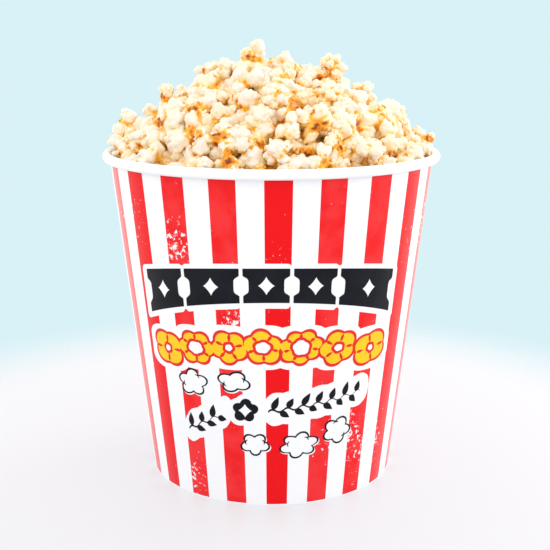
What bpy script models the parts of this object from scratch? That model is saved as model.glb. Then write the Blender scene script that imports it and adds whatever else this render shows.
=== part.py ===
"""Bucket of popcorn: a tapered paperboard tub with a rolled rim, heaped with popped corn.

Metres, +Z up. The origin is the centre of the foot, on the surface that the tub stands on,
and -Y is the printed front. Three pieces: the side wall, which is one sheet of board rolled
outwards at the mouth and folded inwards at the foot; the base, a disc with a turned-down
skirt that the fold at the foot holds; and the popcorn, solid out to its uneven outline.
"""

import math

import bpy
import numpy as np

# Driving dimensions
TUB_HEIGHT = 0.175  # foot to the top of the rolled rim
RIM_DIAMETER = 0.1785  # across the outside of the rolled rim
MOUTH_DIAMETER = 0.1716  # outside of the side wall, carried up to the rim's top
FOOT_DIAMETER = 0.132  # outside of the side wall at the foot
BOARD = 0.0007  # thickness of the paperboard
ROLL_HEIGHT = 0.0050  # height of the rolled rim
BASE_RECESS = 0.012  # foot to the underside of the base disc
HEAP_RISE = 0.044  # height of the smooth heap, without its mounds and lumps
FLAKE = 0.022  # a popped flake across

# Fits and small features
GAP = 0.0003  # between pieces that touch
ROLL_OPENING = 0.00035  # between the roll's free edge and the wall
FOLD_BEND = 0.0004  # rounding of the fold's outer corners
SKIRT_BEND = 0.0006  # rounding where the base turns down

# Smoothness
SEGMENTS = 72  # around the tub
ROLL_STEPS = 10  # along the roll
BEND_STEPS = 2  # along a small corner
DOME_RINGS = 20  # from the heap's top to the rim
RING_SPREAD = 1.2  # above 1, the rings lie closer together towards the top

TAPER = (MOUTH_DIAMETER - FOOT_DIAMETER) / 2 / TUB_HEIGHT
ROLL_MIDDLE = TUB_HEIGHT - ROLL_HEIGHT / 2


def wall_radius(z, depth=0.0):
    """Radius of the cone that lies depth inside the side wall's outer face, at height z."""
    return FOOT_DIAMETER / 2 + TAPER * z - depth


def arc(centre, half_width, half_height, start, end, steps):
    """Points along an elliptical arc from the start angle to the end angle, in the (r, z) plane."""
    points = []
    for i in range(steps + 1):
        angle = start + (end - start) * i / steps
        points.append(
            (centre[0] + half_width * math.cos(angle), centre[1] + half_height * math.sin(angle))
        )
    return points


def make_material(name, colour, roughness):
    material = bpy.data.materials.new(name)
    material.use_nodes = True
    shader = material.node_tree.nodes["Principled BSDF"]
    shader.inputs["Base Color"].default_value = (*colour, 1.0)
    shader.inputs["Roughness"].default_value = roughness
    shader.inputs["Metallic"].default_value = 0.0
    return material


def add_object(name, mesh, material):
    mesh.materials.append(material)
    piece = bpy.data.objects.new(name, mesh)
    bpy.context.scene.collection.objects.link(piece)
    return piece


def turned(name, profile, closed, material):
    """A piece turned about Z from a profile of (r, z) points that runs down its outer side."""
    corners = [(r, 0.0, z) for r, z in profile]
    edges = [(i, i + 1) for i in range(len(corners) - 1)]
    if closed:
        edges.append((len(corners) - 1, 0))
    mesh = bpy.data.meshes.new(name)
    mesh.from_pydata(corners, edges, [])
    piece = add_object(name, mesh, material)
    screw = piece.modifiers.new("turn", "SCREW")
    screw.axis = "Z"
    screw.angle = 2 * math.pi
    screw.steps = SEGMENTS
    screw.render_steps = SEGMENTS
    screw.use_merge_vertices = True
    screw.merge_threshold = 0.00001
    screw.use_smooth_shade = True
    return piece


def bucket_wall():
    """The side wall: one sheet, rolled outwards at the rim and folded up inside at the foot."""
    mouth = wall_radius(ROLL_MIDDLE, BOARD)
    half_width = (RIM_DIAMETER / 2 - mouth) / 2
    half_height = ROLL_HEIGHT / 2
    centre = (mouth + half_width, ROLL_MIDDLE)
    roll_end = -math.acos((ROLL_OPENING + BOARD) / half_width - 1)
    roll_outside = arc(centre, half_width, half_height, math.pi, roll_end, ROLL_STEPS)
    roll_inside = arc(
        centre, half_width - BOARD, half_height - BOARD, roll_end, math.pi, ROLL_STEPS
    )

    fold_depth = 3 * BOARD + 2 * GAP
    fold_inner = wall_radius(0, fold_depth)
    hem_top = BASE_RECESS - GAP
    foot_outer = arc(
        (wall_radius(0, FOLD_BEND), FOLD_BEND), FOLD_BEND, FOLD_BEND, 0, -math.pi / 2, BEND_STEPS
    )
    foot_inner = arc(
        (fold_inner + FOLD_BEND, FOLD_BEND),
        FOLD_BEND,
        FOLD_BEND,
        -math.pi / 2,
        -math.pi,
        BEND_STEPS,
    )
    hem = [
        (wall_radius(hem_top, fold_depth), hem_top),
        (wall_radius(hem_top, fold_depth - BOARD), hem_top),
        (wall_radius(BOARD, fold_depth - BOARD), BOARD),
    ]
    wall_inside = [(wall_radius(BOARD, BOARD), BOARD)]
    profile = roll_outside + roll_inside + foot_outer + foot_inner + hem + wall_inside
    return turned("bucket_wall", profile, True, make_material("printed_board", (0.86, 0.30, 0.30), 0.35))


def bucket_base():
    """The base: a disc set up inside the foot, with a skirt turned down into the wall's fold."""
    top = BASE_RECESS + BOARD
    skirt_end = BOARD + GAP
    skirt_outside = BOARD + GAP
    skirt_inside = skirt_outside + BOARD
    corner = (wall_radius(top - SKIRT_BEND, skirt_outside + SKIRT_BEND), top - SKIRT_BEND)
    shoulder = arc(corner, SKIRT_BEND, SKIRT_BEND, math.pi / 2, 0, BEND_STEPS)
    profile = [(0.0, top)]
    profile += shoulder
    profile += [
        (wall_radius(skirt_end, skirt_outside), skirt_end),
        (wall_radius(skirt_end, skirt_inside), skirt_end),
        (wall_radius(BASE_RECESS, skirt_inside), BASE_RECESS),
        (0.0, BASE_RECESS),
    ]
    return turned("bucket_base", profile, False, make_material("plain_board", (0.93, 0.94, 0.95), 0.5))


# The heap's broad mounds: x, y, reach and rise, in metres
MOUNDS = (
    (-0.079, 0.000, 0.011, 0.0065),
    (-0.058, 0.002, 0.012, 0.0040),
    (-0.034, 0.000, 0.012, 0.0020),
    (-0.011, 0.000, 0.010, 0.0085),
    (0.031, 0.000, 0.011, 0.0055),
    (0.020, -0.046, 0.020, 0.0025),
    (-0.030, 0.046, 0.018, 0.0030),
)
HEAP_RADIUS = 0.0862  # where the heap springs from the rim
HEAP_LEDGE = 0.0022  # height of that edge above the rim's top
HEAP_STEEPNESS = 1.8  # 1 is a half ellipse, more is nearer a cone
LUMP_RISE = 0.0060  # how far a flake stands out of the smooth heap
GOLDEN_ANGLE = math.pi * (3 - math.sqrt(5))


def flake_tops(x, y):
    """How far the flakes stand out at plan points x, y: the highest round top that reaches there.

    The tops lie on a sunflower spiral, a flake apart, and their widths and heights swing with
    two unequal sine waves, so that no two neighbours match.
    """
    count = round((HEAP_RADIUS / (0.5 * FLAKE)) ** 2)
    rise = np.zeros_like(x)
    for i in range(count):
        out = HEAP_RADIUS * math.sqrt((i + 0.5) / count)
        turn = i * GOLDEN_ANGLE
        reach = FLAKE * (0.56 + 0.12 * math.sin(2.3 * i))
        crown = LUMP_RISE * (0.68 + 0.32 * math.sin(1.7 * i + 1))
        away = np.hypot(x - out * math.cos(turn), y - out * math.sin(turn)) / reach
        rise = np.maximum(rise, crown * np.sqrt(np.clip(1 - away**2, 0, 1)))
    return rise


def heap_surface(lean, turn):
    """Points on the heap's outline for angles lean from its top and turn about Z.

    The smooth heap is r = R sin(lean), z = H cos(lean) ** steepness. Mounds lift it, and the
    flakes' tops push it out along its normal.
    """
    plan = HEAP_RADIUS * np.sin(lean)
    x = plan * np.cos(turn)
    y = plan * np.sin(turn)
    z = TUB_HEIGHT + HEAP_LEDGE + HEAP_RISE * np.cos(lean) ** HEAP_STEEPNESS
    for mound_x, mound_y, reach, lift in MOUNDS:
        z = z + lift * np.exp(-((x - mound_x) ** 2 + (y - mound_y) ** 2) / reach**2)
    outward = np.sin(lean) / HEAP_RADIUS
    upward = np.cos(lean) / HEAP_RISE
    length = np.hypot(outward, upward)
    rise = flake_tops(x, y)
    limit = RIM_DIAMETER / 2 - GAP
    reach_out = np.minimum(plan + rise * outward / length, limit)
    return np.stack(
        [reach_out * np.cos(turn), reach_out * np.sin(turn), z + rise * upward / length], axis=-1
    )


def popcorn_heap():
    """The popcorn: it fills the tub from the base up, and stands out of it as an uneven heap."""
    floor = BASE_RECESS + BOARD + GAP
    turn = np.linspace(0, 2 * math.pi, SEGMENTS, endpoint=False)
    inside = [
        (wall_radius(floor, BOARD + GAP), floor),
        (wall_radius(ROLL_MIDDLE, BOARD + GAP), ROLL_MIDDLE),
        (wall_radius(ROLL_MIDDLE, BOARD + GAP), TUB_HEIGHT + GAP),
    ]
    rings = [
        np.stack([r * np.cos(turn), r * np.sin(turn), np.full(SEGMENTS, z)], axis=-1)
        for r, z in inside
    ]
    for i in range(DOME_RINGS):
        lean = math.pi / 2 * (1 - i / DOME_RINGS) ** RING_SPREAD
        rings.append(heap_surface(np.full(SEGMENTS, lean), turn))
    points = np.concatenate(rings)
    top = heap_surface(np.array([0.0]), np.array([0.0]))[0]
    bottom = np.array([0.0, 0.0, floor])
    bottom_index = len(points)
    top_index = bottom_index + 1
    points = np.vstack([points, bottom, top])

    faces = []
    for ring in range(len(rings) - 1):
        for i in range(SEGMENTS):
            j = (i + 1) % SEGMENTS
            low = ring * SEGMENTS
            high = low + SEGMENTS
            faces.append((low + i, low + j, high + j, high + i))
    last = (len(rings) - 1) * SEGMENTS
    for i in range(SEGMENTS):
        j = (i + 1) % SEGMENTS
        faces.append((bottom_index, j, i))
        faces.append((top_index, last + i, last + j))

    mesh = bpy.data.meshes.new("popcorn_heap")
    mesh.from_pydata(points.tolist(), [], faces)
    mesh.shade_smooth()
    return add_object("popcorn_heap", mesh, make_material("popcorn", (0.96, 0.87, 0.68), 0.7))


for leftover in list(bpy.data.objects):
    bpy.data.objects.remove(leftover)

bucket_wall()
bucket_base()
popcorn_heap()
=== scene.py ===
"""Looks of the bucket of popcorn: a striped paperboard tub heaped with popped corn.

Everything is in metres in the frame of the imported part: +Z up, the foot's centre at the origin,
and -Y the printed front. An azimuth is counted from the front, positive towards +X.
"""

import math

import bpy
import numpy as np
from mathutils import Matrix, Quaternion, Vector
from mathutils.bvhtree import BVHTree


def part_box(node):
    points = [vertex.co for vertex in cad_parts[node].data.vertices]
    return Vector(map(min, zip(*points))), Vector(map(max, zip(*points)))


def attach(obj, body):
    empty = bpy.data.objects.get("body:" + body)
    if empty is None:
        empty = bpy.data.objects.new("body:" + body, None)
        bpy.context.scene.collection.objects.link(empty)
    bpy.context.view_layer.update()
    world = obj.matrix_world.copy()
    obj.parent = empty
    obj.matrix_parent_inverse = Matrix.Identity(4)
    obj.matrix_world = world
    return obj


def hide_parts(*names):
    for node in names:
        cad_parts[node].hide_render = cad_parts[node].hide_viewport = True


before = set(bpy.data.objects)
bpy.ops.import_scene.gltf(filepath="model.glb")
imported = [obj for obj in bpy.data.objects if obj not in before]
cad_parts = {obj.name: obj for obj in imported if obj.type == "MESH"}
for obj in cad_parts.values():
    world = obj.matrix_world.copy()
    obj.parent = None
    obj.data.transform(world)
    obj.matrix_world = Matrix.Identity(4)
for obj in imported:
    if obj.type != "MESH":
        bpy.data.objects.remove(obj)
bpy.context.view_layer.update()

# --- Side wall -----------------------------------------------------------------------------------
# One sheet of coated white board, wrapped into a cone and glued up the back, where its edge shows
# as a low step. Its mouth is rolled outwards and its foot folded up inside round the base's skirt.

wall_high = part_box("bucket_wall")[1]
rim_radius = wall_high.x
rim_top = wall_high.z
board = 0.0007  # thickness of the paperboard
roll_height = 0.0050
roll_opening = 0.00035  # between the roll's free edge and the wall
fold_depth = 0.0027  # from the wall's outer face to the hem's inner one
fold_bend = 0.0004
hem_height = 0.0117
lap_step = 0.00045  # how far the sheet's edge stands out at the back
lap_fade = 50.0  # degrees over which the wall swells to that step
lap_edge = 0.55  # degrees that the step's own face takes up
under_roll = 0.0008  # where the outer face starts, below the roll's middle
roll_clear = 0.004  # height below the roll over which the step fades in
print_start = 0.0009  # where the print begins, above the foot
wall_turn_step = 1.5


def node_points(name):
    """All corners of a CAD node as an array of x, y, z rows."""
    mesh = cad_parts[name].data
    flat = np.empty(len(mesh.vertices) * 3)
    mesh.vertices.foreach_get("co", flat)
    return flat.reshape(-1, 3)


wall_points = node_points("bucket_wall")
wall_reach = np.hypot(wall_points[:, 0], wall_points[:, 1])
foot_radius = wall_reach[wall_points[:, 2] < 0.002].max()
roll_middle = rim_top - roll_height / 2
mouth_radius = wall_reach[wall_points[:, 2] > roll_middle - 0.0001].min() + board
taper = (mouth_radius - foot_radius) / roll_middle


def cone_radius(height):
    """Radius of the side wall's outer face: the foot's radius and the taper times the height."""
    return foot_radius + taper * height


def arc(centre_r, centre_z, half_width, half_height, start, end, steps):
    """Rows of r, z along an elliptical arc: the centre and the half axes times cosine and sine."""
    angle = np.radians(np.linspace(start, end, steps + 1))
    return np.stack(
        [centre_r + half_width * np.cos(angle), centre_z + half_height * np.sin(angle)], axis=1
    )


def mesh_object(name, points, face_arrays, materials):
    """A smooth mesh object at the origin from rows of points and from arrays of faces."""
    mesh = bpy.data.meshes.new(name)
    faces = [face for array in face_arrays for face in array.tolist()]
    mesh.from_pydata(np.asarray(points).reshape(-1, 3).tolist(), [], faces)
    mesh.shade_smooth()
    for material in materials:
        mesh.materials.append(material)
    piece = bpy.data.objects.new(name, mesh)
    bpy.context.scene.collection.objects.link(piece)
    return piece


def grid_faces(rows, columns, closed_rows=False, closed_columns=False):
    """Quads of a grid of points stored row by row, wrapped round where a direction is closed."""
    row = np.arange(rows if closed_rows else rows - 1)[:, None]
    column = np.arange(columns if closed_columns else columns - 1)[None, :]
    next_row = (row + 1) % rows
    next_column = (column + 1) % columns
    corners = [
        row * columns + column,
        next_row * columns + column,
        next_row * columns + next_column,
        row * columns + next_column,
    ]
    return np.stack(np.broadcast_arrays(*corners), axis=-1).reshape(-1, 4)


def point_attribute(piece, name, values):
    """A number for each point of a mesh, for its material to read."""
    layer = piece.data.attributes.new(name, "FLOAT", "POINT")
    layer.data.foreach_set("value", np.asarray(values, np.float32).ravel())


roll_half_width = (rim_radius - mouth_radius + board) / 2
roll_centre = rim_radius - roll_half_width
roll_end = -math.degrees(math.acos((roll_opening + board) / roll_half_width - 1))
roll_outside = arc(roll_centre, roll_middle, roll_half_width, roll_height / 2, 180, roll_end, 30)
roll_inside = arc(
    roll_centre, roll_middle, roll_half_width - board, roll_height / 2 - board, roll_end, 180, 30
)
face_heights = np.linspace(roll_middle - under_roll, print_start, 64)
outer_face = np.stack([cone_radius(face_heights), face_heights], axis=1)
foot_outer = arc(foot_radius - fold_bend, fold_bend, fold_bend, fold_bend, 0, -90, 4)
fold_inner = foot_radius - fold_depth
foot_inner = arc(fold_inner + fold_bend, fold_bend, fold_bend, fold_bend, -90, -180, 4)
hem_reach = taper * hem_height
hem = np.array(
    [
        [fold_inner + hem_reach, hem_height],
        [fold_inner + board + hem_reach, hem_height],
        [fold_inner + board, board],
        [foot_radius - board, board],
    ]
)
profile = np.vstack([roll_outside, roll_inside, outer_face, foot_outer, foot_inner, hem])
first_printed = len(roll_outside) + len(roll_inside)
last_printed = first_printed + len(outer_face) - 1


def around_axis(radius, height, azimuth):
    """Points at a radius and height, turned about the tub's axis: x = r sin a, y = -r cos a."""
    turn = np.radians(azimuth)
    return np.stack(
        np.broadcast_arrays(radius * np.sin(turn), -radius * np.cos(turn), height), axis=-1
    )


azimuths = np.append(np.arange(-180.0, 180.0, wall_turn_step), 180 - lap_edge)
overlap = lap_step * np.clip((azimuths - (180 - lap_fade)) / lap_fade, 0, 1)
below_roll = (roll_middle - face_heights) / roll_clear - 1
on_face = np.zeros(len(profile))
on_face[first_printed : last_printed + 1] = np.clip(below_roll, 0, 1)
wall_radii = profile[:, :1] + on_face[:, None] * overlap[None, :]
wall_grid = around_axis(wall_radii, profile[:, 1:], azimuths[None, :])
wall_quads = grid_faces(len(profile), len(azimuths), closed_rows=True, closed_columns=True)


def new_material(name, roughness, specular=0.5):
    """A material with a Principled shader, and its node tree."""
    material = bpy.data.materials.new(name)
    material.use_nodes = True
    shader = material.node_tree.nodes["Principled BSDF"]
    shader.inputs["Roughness"].default_value = roughness
    shader.inputs["Specular IOR Level"].default_value = specular
    return material, material.node_tree, shader


def node(tree, kind, **settings):
    """A shader node with some of its properties set."""
    made = tree.nodes.new(kind)
    for key, value in settings.items():
        setattr(made, key, value)
    return made


def feed(tree, socket, value):
    """Links an output to a socket, or sets the socket to a number or a colour."""
    if isinstance(value, bpy.types.NodeSocket):
        tree.links.new(value, socket)
    elif isinstance(value, tuple):
        socket.default_value = (*value, 1.0)
    else:
        socket.default_value = value


def calculate(tree, operation, first, second=0.0):
    """One step of arithmetic on two numbers."""
    step = node(tree, "ShaderNodeMath", operation=operation)
    feed(tree, step.inputs[0], first)
    feed(tree, step.inputs[1], second)
    return step.outputs[0]


def weighted_sum(tree, start, *terms):
    """A number or a mask, plus further masks that are each multiplied by a weight."""
    total = start
    for mask, weight in terms:
        total = calculate(tree, "ADD", total, calculate(tree, "MULTIPLY", mask, weight))
    return total


def ease(tree, value, low, high):
    """0 below low, 1 above high, and a smooth step between them."""
    step = node(tree, "ShaderNodeMapRange", interpolation_type="SMOOTHSTEP")
    feed(tree, step.inputs["Value"], value)
    step.inputs["From Min"].default_value = low
    step.inputs["From Max"].default_value = high
    return step.outputs["Result"]


def blend_colours(tree, share, below, above):
    """The colour below where share is 0, and the one above where it is 1."""
    mix = node(tree, "ShaderNodeMix", data_type="RGBA")
    feed(tree, mix.inputs[0], share)
    feed(tree, mix.inputs[6], below)
    feed(tree, mix.inputs[7], above)
    return mix.outputs[2]


def noise(tree, place, scale, detail=2.0, roughness=0.5):
    """Smooth noise from 0 to 1 at a scale in waves per metre."""
    texture = node(tree, "ShaderNodeTexNoise")
    feed(tree, texture.inputs["Vector"], place)
    texture.inputs["Scale"].default_value = scale
    texture.inputs["Detail"].default_value = detail
    texture.inputs["Roughness"].default_value = roughness
    return texture.outputs["Fac"]


def painted(tree, name):
    """The number that a mesh's points hold under this name."""
    return node(tree, "ShaderNodeAttribute", attribute_name=name).outputs["Fac"]


def object_place(tree):
    """The point on the surface in the object's own metres."""
    return node(tree, "ShaderNodeTexCoord").outputs["Object"]


def bumped(tree, shader, height, distance, strength=1.0):
    """Feeds a height to the shader's normal as a bump of that depth in metres."""
    bump = node(tree, "ShaderNodeBump")
    bump.inputs["Strength"].default_value = strength
    bump.inputs["Distance"].default_value = distance
    feed(tree, bump.inputs["Height"], height)
    tree.links.new(bump.outputs["Normal"], shader.inputs["Normal"])


def new_group(name, inputs, outputs):
    """A shader node group with named inputs and outputs, as (name, socket type) pairs."""
    group = bpy.data.node_groups.new(name, "ShaderNodeTree")
    for label, kind in inputs:
        group.interface.new_socket(label, in_out="INPUT", socket_type=kind)
    for label, kind in outputs:
        group.interface.new_socket(label, in_out="OUTPUT", socket_type=kind)
    entry = node(group, "NodeGroupInput")
    result = node(group, "NodeGroupOutput")
    return group, entry, result


def placed_group(tree, group, **values):
    """A group set into a material, with its inputs fed by name."""
    placed = node(tree, "ShaderNodeGroup", node_tree=group)
    for label, value in values.items():
        feed(tree, placed.inputs[label], value)
    return placed


# Board surface: the faint unevenness of pressed fibre under the coating.
board_surface, entry, result = new_group(
    "board surface",
    [("Place", "NodeSocketVector")],
    [("Height", "NodeSocketFloat"), ("Tone", "NodeSocketFloat")],
)
fibre = noise(board_surface, entry.outputs["Place"], 2600, 3.0)
sweep = noise(board_surface, entry.outputs["Place"], 90, 2.0)
board_surface.links.new(calculate(board_surface, "ADD", fibre, sweep), result.inputs["Height"])
board_surface.links.new(ease(board_surface, sweep, 0.3, 0.7), result.inputs["Tone"])

# Printed face: 20 red stripes and 20 white ones, of equal width, with the ink worn off in flecks.
# Every third red stripe is printed solid, and the two after it come out a little thinner.
stripe_pairs = 20
stripe_start = -2.24  # azimuth at which the front red stripe begins
white_under_roll = 0.0009  # how far the stripes run up behind the roll
full_ink = (0.81, 0.002, 0.006)
thin_ink = (0.86, 0.032, 0.036)
coated_white = (0.905, 0.92, 0.95)
coated_white_cool = (0.885, 0.905, 0.945)

printed_board, tree, shader = new_material("printed board", 0.30, 0.15)
place = object_place(tree)
axes = node(tree, "ShaderNodeSeparateXYZ")
feed(tree, axes.inputs[0], place)
toward_front = calculate(tree, "MULTIPLY", axes.outputs["Y"], -1.0)
azimuth = calculate(tree, "ARCTAN2", axes.outputs["X"], toward_front)
pair_angle = 2 * math.pi / stripe_pairs
in_pairs = calculate(tree, "DIVIDE", azimuth, pair_angle)
from_start = calculate(tree, "SUBTRACT", in_pairs, math.radians(stripe_start) / pair_angle)
through_pair = calculate(tree, "FRACT", calculate(tree, "ADD", from_start, float(stripe_pairs)))
in_red = calculate(tree, "LESS_THAN", through_pair, 0.5)
stripe_top = rim_top - roll_height + white_under_roll
below_rim = calculate(tree, "LESS_THAN", axes.outputs["Z"], stripe_top)
in_red = calculate(tree, "MULTIPLY", in_red, below_rim)

# Worn ink: small ragged flecks inside soft zones, thinning out towards a zone's edge.
flecks = noise(tree, place, 460, 5.0, 0.70)
specks = noise(tree, place, 1500, 2.0)
worn = weighted_sum(tree, flecks, (painted(tree, "wear"), 0.19), (specks, 0.10))
worn = ease(tree, worn, 0.745, 0.765)
kept_ink = calculate(tree, "MULTIPLY", in_red, calculate(tree, "SUBTRACT", 1.0, worn))
surface = placed_group(tree, board_surface, Place=place)
stripe = calculate(tree, "FLOOR", from_start)
third = calculate(tree, "COSINE", calculate(tree, "MULTIPLY", stripe, 2 * math.pi / 3))
thinness = ease(tree, calculate(tree, "SUBTRACT", surface.outputs["Tone"], third), 0.0, 1.6)
ink = blend_colours(tree, thinness, full_ink, thin_ink)
bare = blend_colours(tree, surface.outputs["Tone"], coated_white_cool, coated_white)
tree.links.new(blend_colours(tree, kept_ink, bare, ink), shader.inputs["Base Color"])
tree.links.new(weighted_sum(tree, 0.26, (worn, 0.25)), shader.inputs["Roughness"])
bumped(tree, shader, surface.outputs["Height"], 0.00003, 0.35)
# The varnish over the ink shines where it is seen aslant.
slant = node(tree, "ShaderNodeLayerWeight").outputs["Facing"]
varnish = calculate(tree, "MULTIPLY", ease(tree, slant, 0.44, 0.82), 0.50)
tree.links.new(varnish, shader.inputs["Coat Weight"])
shader.inputs["Coat Roughness"].default_value = 0.22

plain_board, tree, shader = new_material("plain board", 0.38, 0.2)
place = object_place(tree)
surface = placed_group(tree, board_surface, Place=place)
tone = blend_colours(tree, surface.outputs["Tone"], coated_white_cool, coated_white)
tree.links.new(tone, shader.inputs["Base Color"])
bumped(tree, shader, surface.outputs["Height"], 0.00004, 0.4)

tub_wall = mesh_object("tub_wall", wall_grid, [wall_quads], [plain_board, printed_board])
face_rows = np.repeat(np.arange(len(profile)), len(azimuths))
on_lap_edge = np.tile(np.arange(len(azimuths)) == len(azimuths) - 1, len(profile))
printed = (face_rows >= first_printed) & (face_rows < last_printed) & ~on_lap_edge
tub_wall.data.polygons.foreach_set("material_index", printed.astype(np.int32))

# Zones where the ink is worn: azimuth in degrees, height and reach in metres, and strength.
wear_zones = (
    (-62, 0.146, 0.017, 0.65),
    (-34, 0.136, 0.013, 0.95),
    (-14, 0.101, 0.009, 0.9),
    (3, 0.131, 0.008, 0.6),
    (-38, 0.010, 0.013, 0.8),
    (31, 0.034, 0.014, 1.0),
    (45, 0.026, 0.015, 0.9),
    (70, 0.140, 0.018, 0.8),
    (110, 0.060, 0.025, 0.9),
    (150, 0.120, 0.020, 0.9),
    (-100, 0.070, 0.022, 0.9),
    (-140, 0.130, 0.020, 0.8),
    (-165, 0.030, 0.018, 0.8),
)
wear = np.zeros(wall_radii.shape)
for zone_azimuth, zone_height, zone_reach, strength in wear_zones:
    aside = np.radians((azimuths[None, :] - zone_azimuth + 180) % 360 - 180) * wall_radii
    away = np.hypot(aside, profile[:, 1:] - zone_height) / zone_reach
    wear = np.maximum(wear, strength * np.exp(-(away**2)))
point_attribute(tub_wall, "wear", wear)
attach(tub_wall, "root")
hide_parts("bucket_wall")

# --- Base ----------------------------------------------------------------------------------------
# A disc of plain white board, set up inside the foot. Its edge is turned down between the wall and
# the folded hem, which are glued to it, and a shallow ring is pressed into its middle.

base_low, base_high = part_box("bucket_base")
disc_top = base_high.z
disc_under = disc_top - board
skirt_end = base_low.z
skirt_outside = base_high.x
skirt_lean = taper * (disc_top - skirt_end)
skirt_bend = 0.0006  # rounding where the base turns down
ring_radius = 0.045
ring_width = 0.002
ring_depth = 0.00025


def pressed(radius):
    """The depth of the pressed ring at a radius: a bell curve round the ring's own radius."""
    return ring_depth * np.exp(-(((radius - ring_radius) / ring_width) ** 2))


def pole_fans(rows, columns):
    """Triangles that close a grid's first and last rows to two poles, stored after its points."""
    ring = np.arange(columns)
    following = np.roll(ring, -1)
    last = (rows - 1) * columns
    pole = np.full(columns, rows * columns)
    upper = np.stack([pole, ring, following], axis=1)
    return upper, np.stack([pole + 1, last + following, last + ring], axis=1)


disc_radii = np.linspace(0.0005, skirt_outside - 2 * skirt_bend, 40)
disc_up = np.stack([disc_radii, disc_top - pressed(disc_radii)], axis=1)
corner = arc(
    skirt_outside - skirt_bend, disc_top - skirt_bend, skirt_bend, skirt_bend, 90, 0, 5
)
skirt_foot = skirt_outside - skirt_lean
skirt = np.array([[skirt_foot, skirt_end], [skirt_foot - board, skirt_end]])
under_edge = np.array([[skirt_outside - board - 0.0002, disc_under]])
disc_down = np.stack([disc_radii[::-1], disc_under - pressed(disc_radii[::-1])], axis=1)
base_profile = np.vstack([disc_up, corner, skirt, under_edge, disc_down])
base_azimuths = np.arange(-180.0, 180.0, 3.0)
base_grid = around_axis(base_profile[:, :1], base_profile[:, 1:], base_azimuths[None, :])
base_size = (len(base_profile), len(base_azimuths))
base_quads = grid_faces(*base_size, closed_columns=True)
base_points = np.vstack([base_grid.reshape(-1, 3), [[0, 0, disc_top]], [[0, 0, disc_under]]])
base_faces = [base_quads, *pole_fans(*base_size)]
tub_base = mesh_object("tub_base", base_points, base_faces, [plain_board])
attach(tub_base, "root")
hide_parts("bucket_base")

# --- Print on the front --------------------------------------------------------------------------
# Fields of ink laid over the stripes in plain shapes: a row of black slabs on an arch, a row of
# yellow puffs outlined in red below it, black leafy sprigs, and drawn puffs, all on white grounds.
# Each field is a closed film of ink, a few hundredths of a millimetre over what lies under it.

layer_rise = 0.00005
film_thickness = 0.00002
keyline = 0.0024  # white margin round the rows
white_fields = []
black_fields = []
red_fields = []
yellow_fields = []


def on_wall(azimuth, height, layer):
    """Points on the printed face at an azimuth and height, raised by a number of ink layers."""
    return around_axis(cone_radius(height) + layer * layer_rise, height, azimuth)


def inked_field(low_edge, high_edge, layer, rows=8):
    """A field between two edges, each an array of azimuth, height: rows blended between them."""
    share = np.linspace(0, 1, rows)[:, None, None]
    place = high_edge[None] * (1 - share) + low_edge[None] * share
    return on_wall(place[..., 0], place[..., 1], layer), [grid_faces(rows, len(low_edge))]


def inked_band(azimuth, middle, half_height, layer, rows=8):
    """A field along a line of azimuths, that reaches half its height above and below a middle."""
    edges = [np.stack([azimuth, middle + side * half_height], axis=1) for side in (-1, 1)]
    return inked_field(*edges, layer, rows)


def inked_outline(azimuth, height, reach, layer, inside=0.0, rows=6):
    """A field inside a closed outline, or between it and a copy of it drawn in by inside metres.

    reach holds sideways, upward metres of each outline point from the middle. The rows go from
    the outline towards the middle, where a full field ends in a fan round one point. Sideways
    metres turn into azimuth at the middle's height.
    """
    distance = np.hypot(reach[:, 0], reach[:, 1])
    inner_share = (distance - inside) / distance if inside else np.full(len(reach), 1 / rows)
    share = np.linspace(1, 0, rows)[:, None]
    scale = (share + (1 - share) * inner_share[None, :])[..., None]
    place = (reach[None] * scale).reshape(-1, 2)
    faces = [grid_faces(rows, len(reach), closed_columns=True)[:, ::-1]]
    if not inside:
        ring = (rows - 1) * len(reach) + np.arange(len(reach))
        pole = np.full(len(reach), len(place))
        faces.append(np.stack([pole, ring, np.roll(ring, -1)], axis=1))
        place = np.vstack([place, [[0, 0]]])
    across = azimuth + np.degrees(place[:, 0] / cone_radius(height))
    return on_wall(across, height + place[:, 1], layer), faces


outline_turn = np.linspace(0, 2 * np.pi, 64, endpoint=False)


def starred(half_width, half_height, pinch=2.5):
    """A four-pointed star: half width and height times cosine and sine to the power pinch."""
    turned = np.stack([np.cos(outline_turn), np.sin(outline_turn)], axis=1)
    return np.array([half_width, half_height]) * np.sign(turned) * np.abs(turned) ** pinch


def lobed(half_width, half_height, lobes, turn, swell):
    """A puff's outline: an ellipse swollen by the absolute sine, so that lobes meet in notches."""
    bulge = 1 + swell * (np.abs(np.sin(lobes * (outline_turn + turn) / 2)) - 0.6)
    bulge = bulge * (1 + 0.05 * np.sin(2 * outline_turn + 3 * turn + lobes))
    turned = np.stack([np.cos(outline_turn), np.sin(outline_turn)], axis=1)
    return np.array([half_width, half_height]) * bulge[:, None] * turned


# The row of black slabs, with a waist in each side and a small white star in the middle.
slab_joints = (-52.3, -32.6, -10.5, 7.0, 23.9, 50.2)
slab_gap = 0.65
slab_waist = 2.0
slab_star = 0.0040
slab_rows = 25
slab_columns = 14


def slab_top(azimuth):
    """The arch's upper edge: highest at the front, falling with the azimuth squared."""
    return 0.1274 - 2.64e-6 * azimuth**2


def slab_foot(azimuth):
    """The arch's lower edge, which falls faster than the upper one."""
    return 0.1102 - 4.62e-6 * azimuth**2


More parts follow.
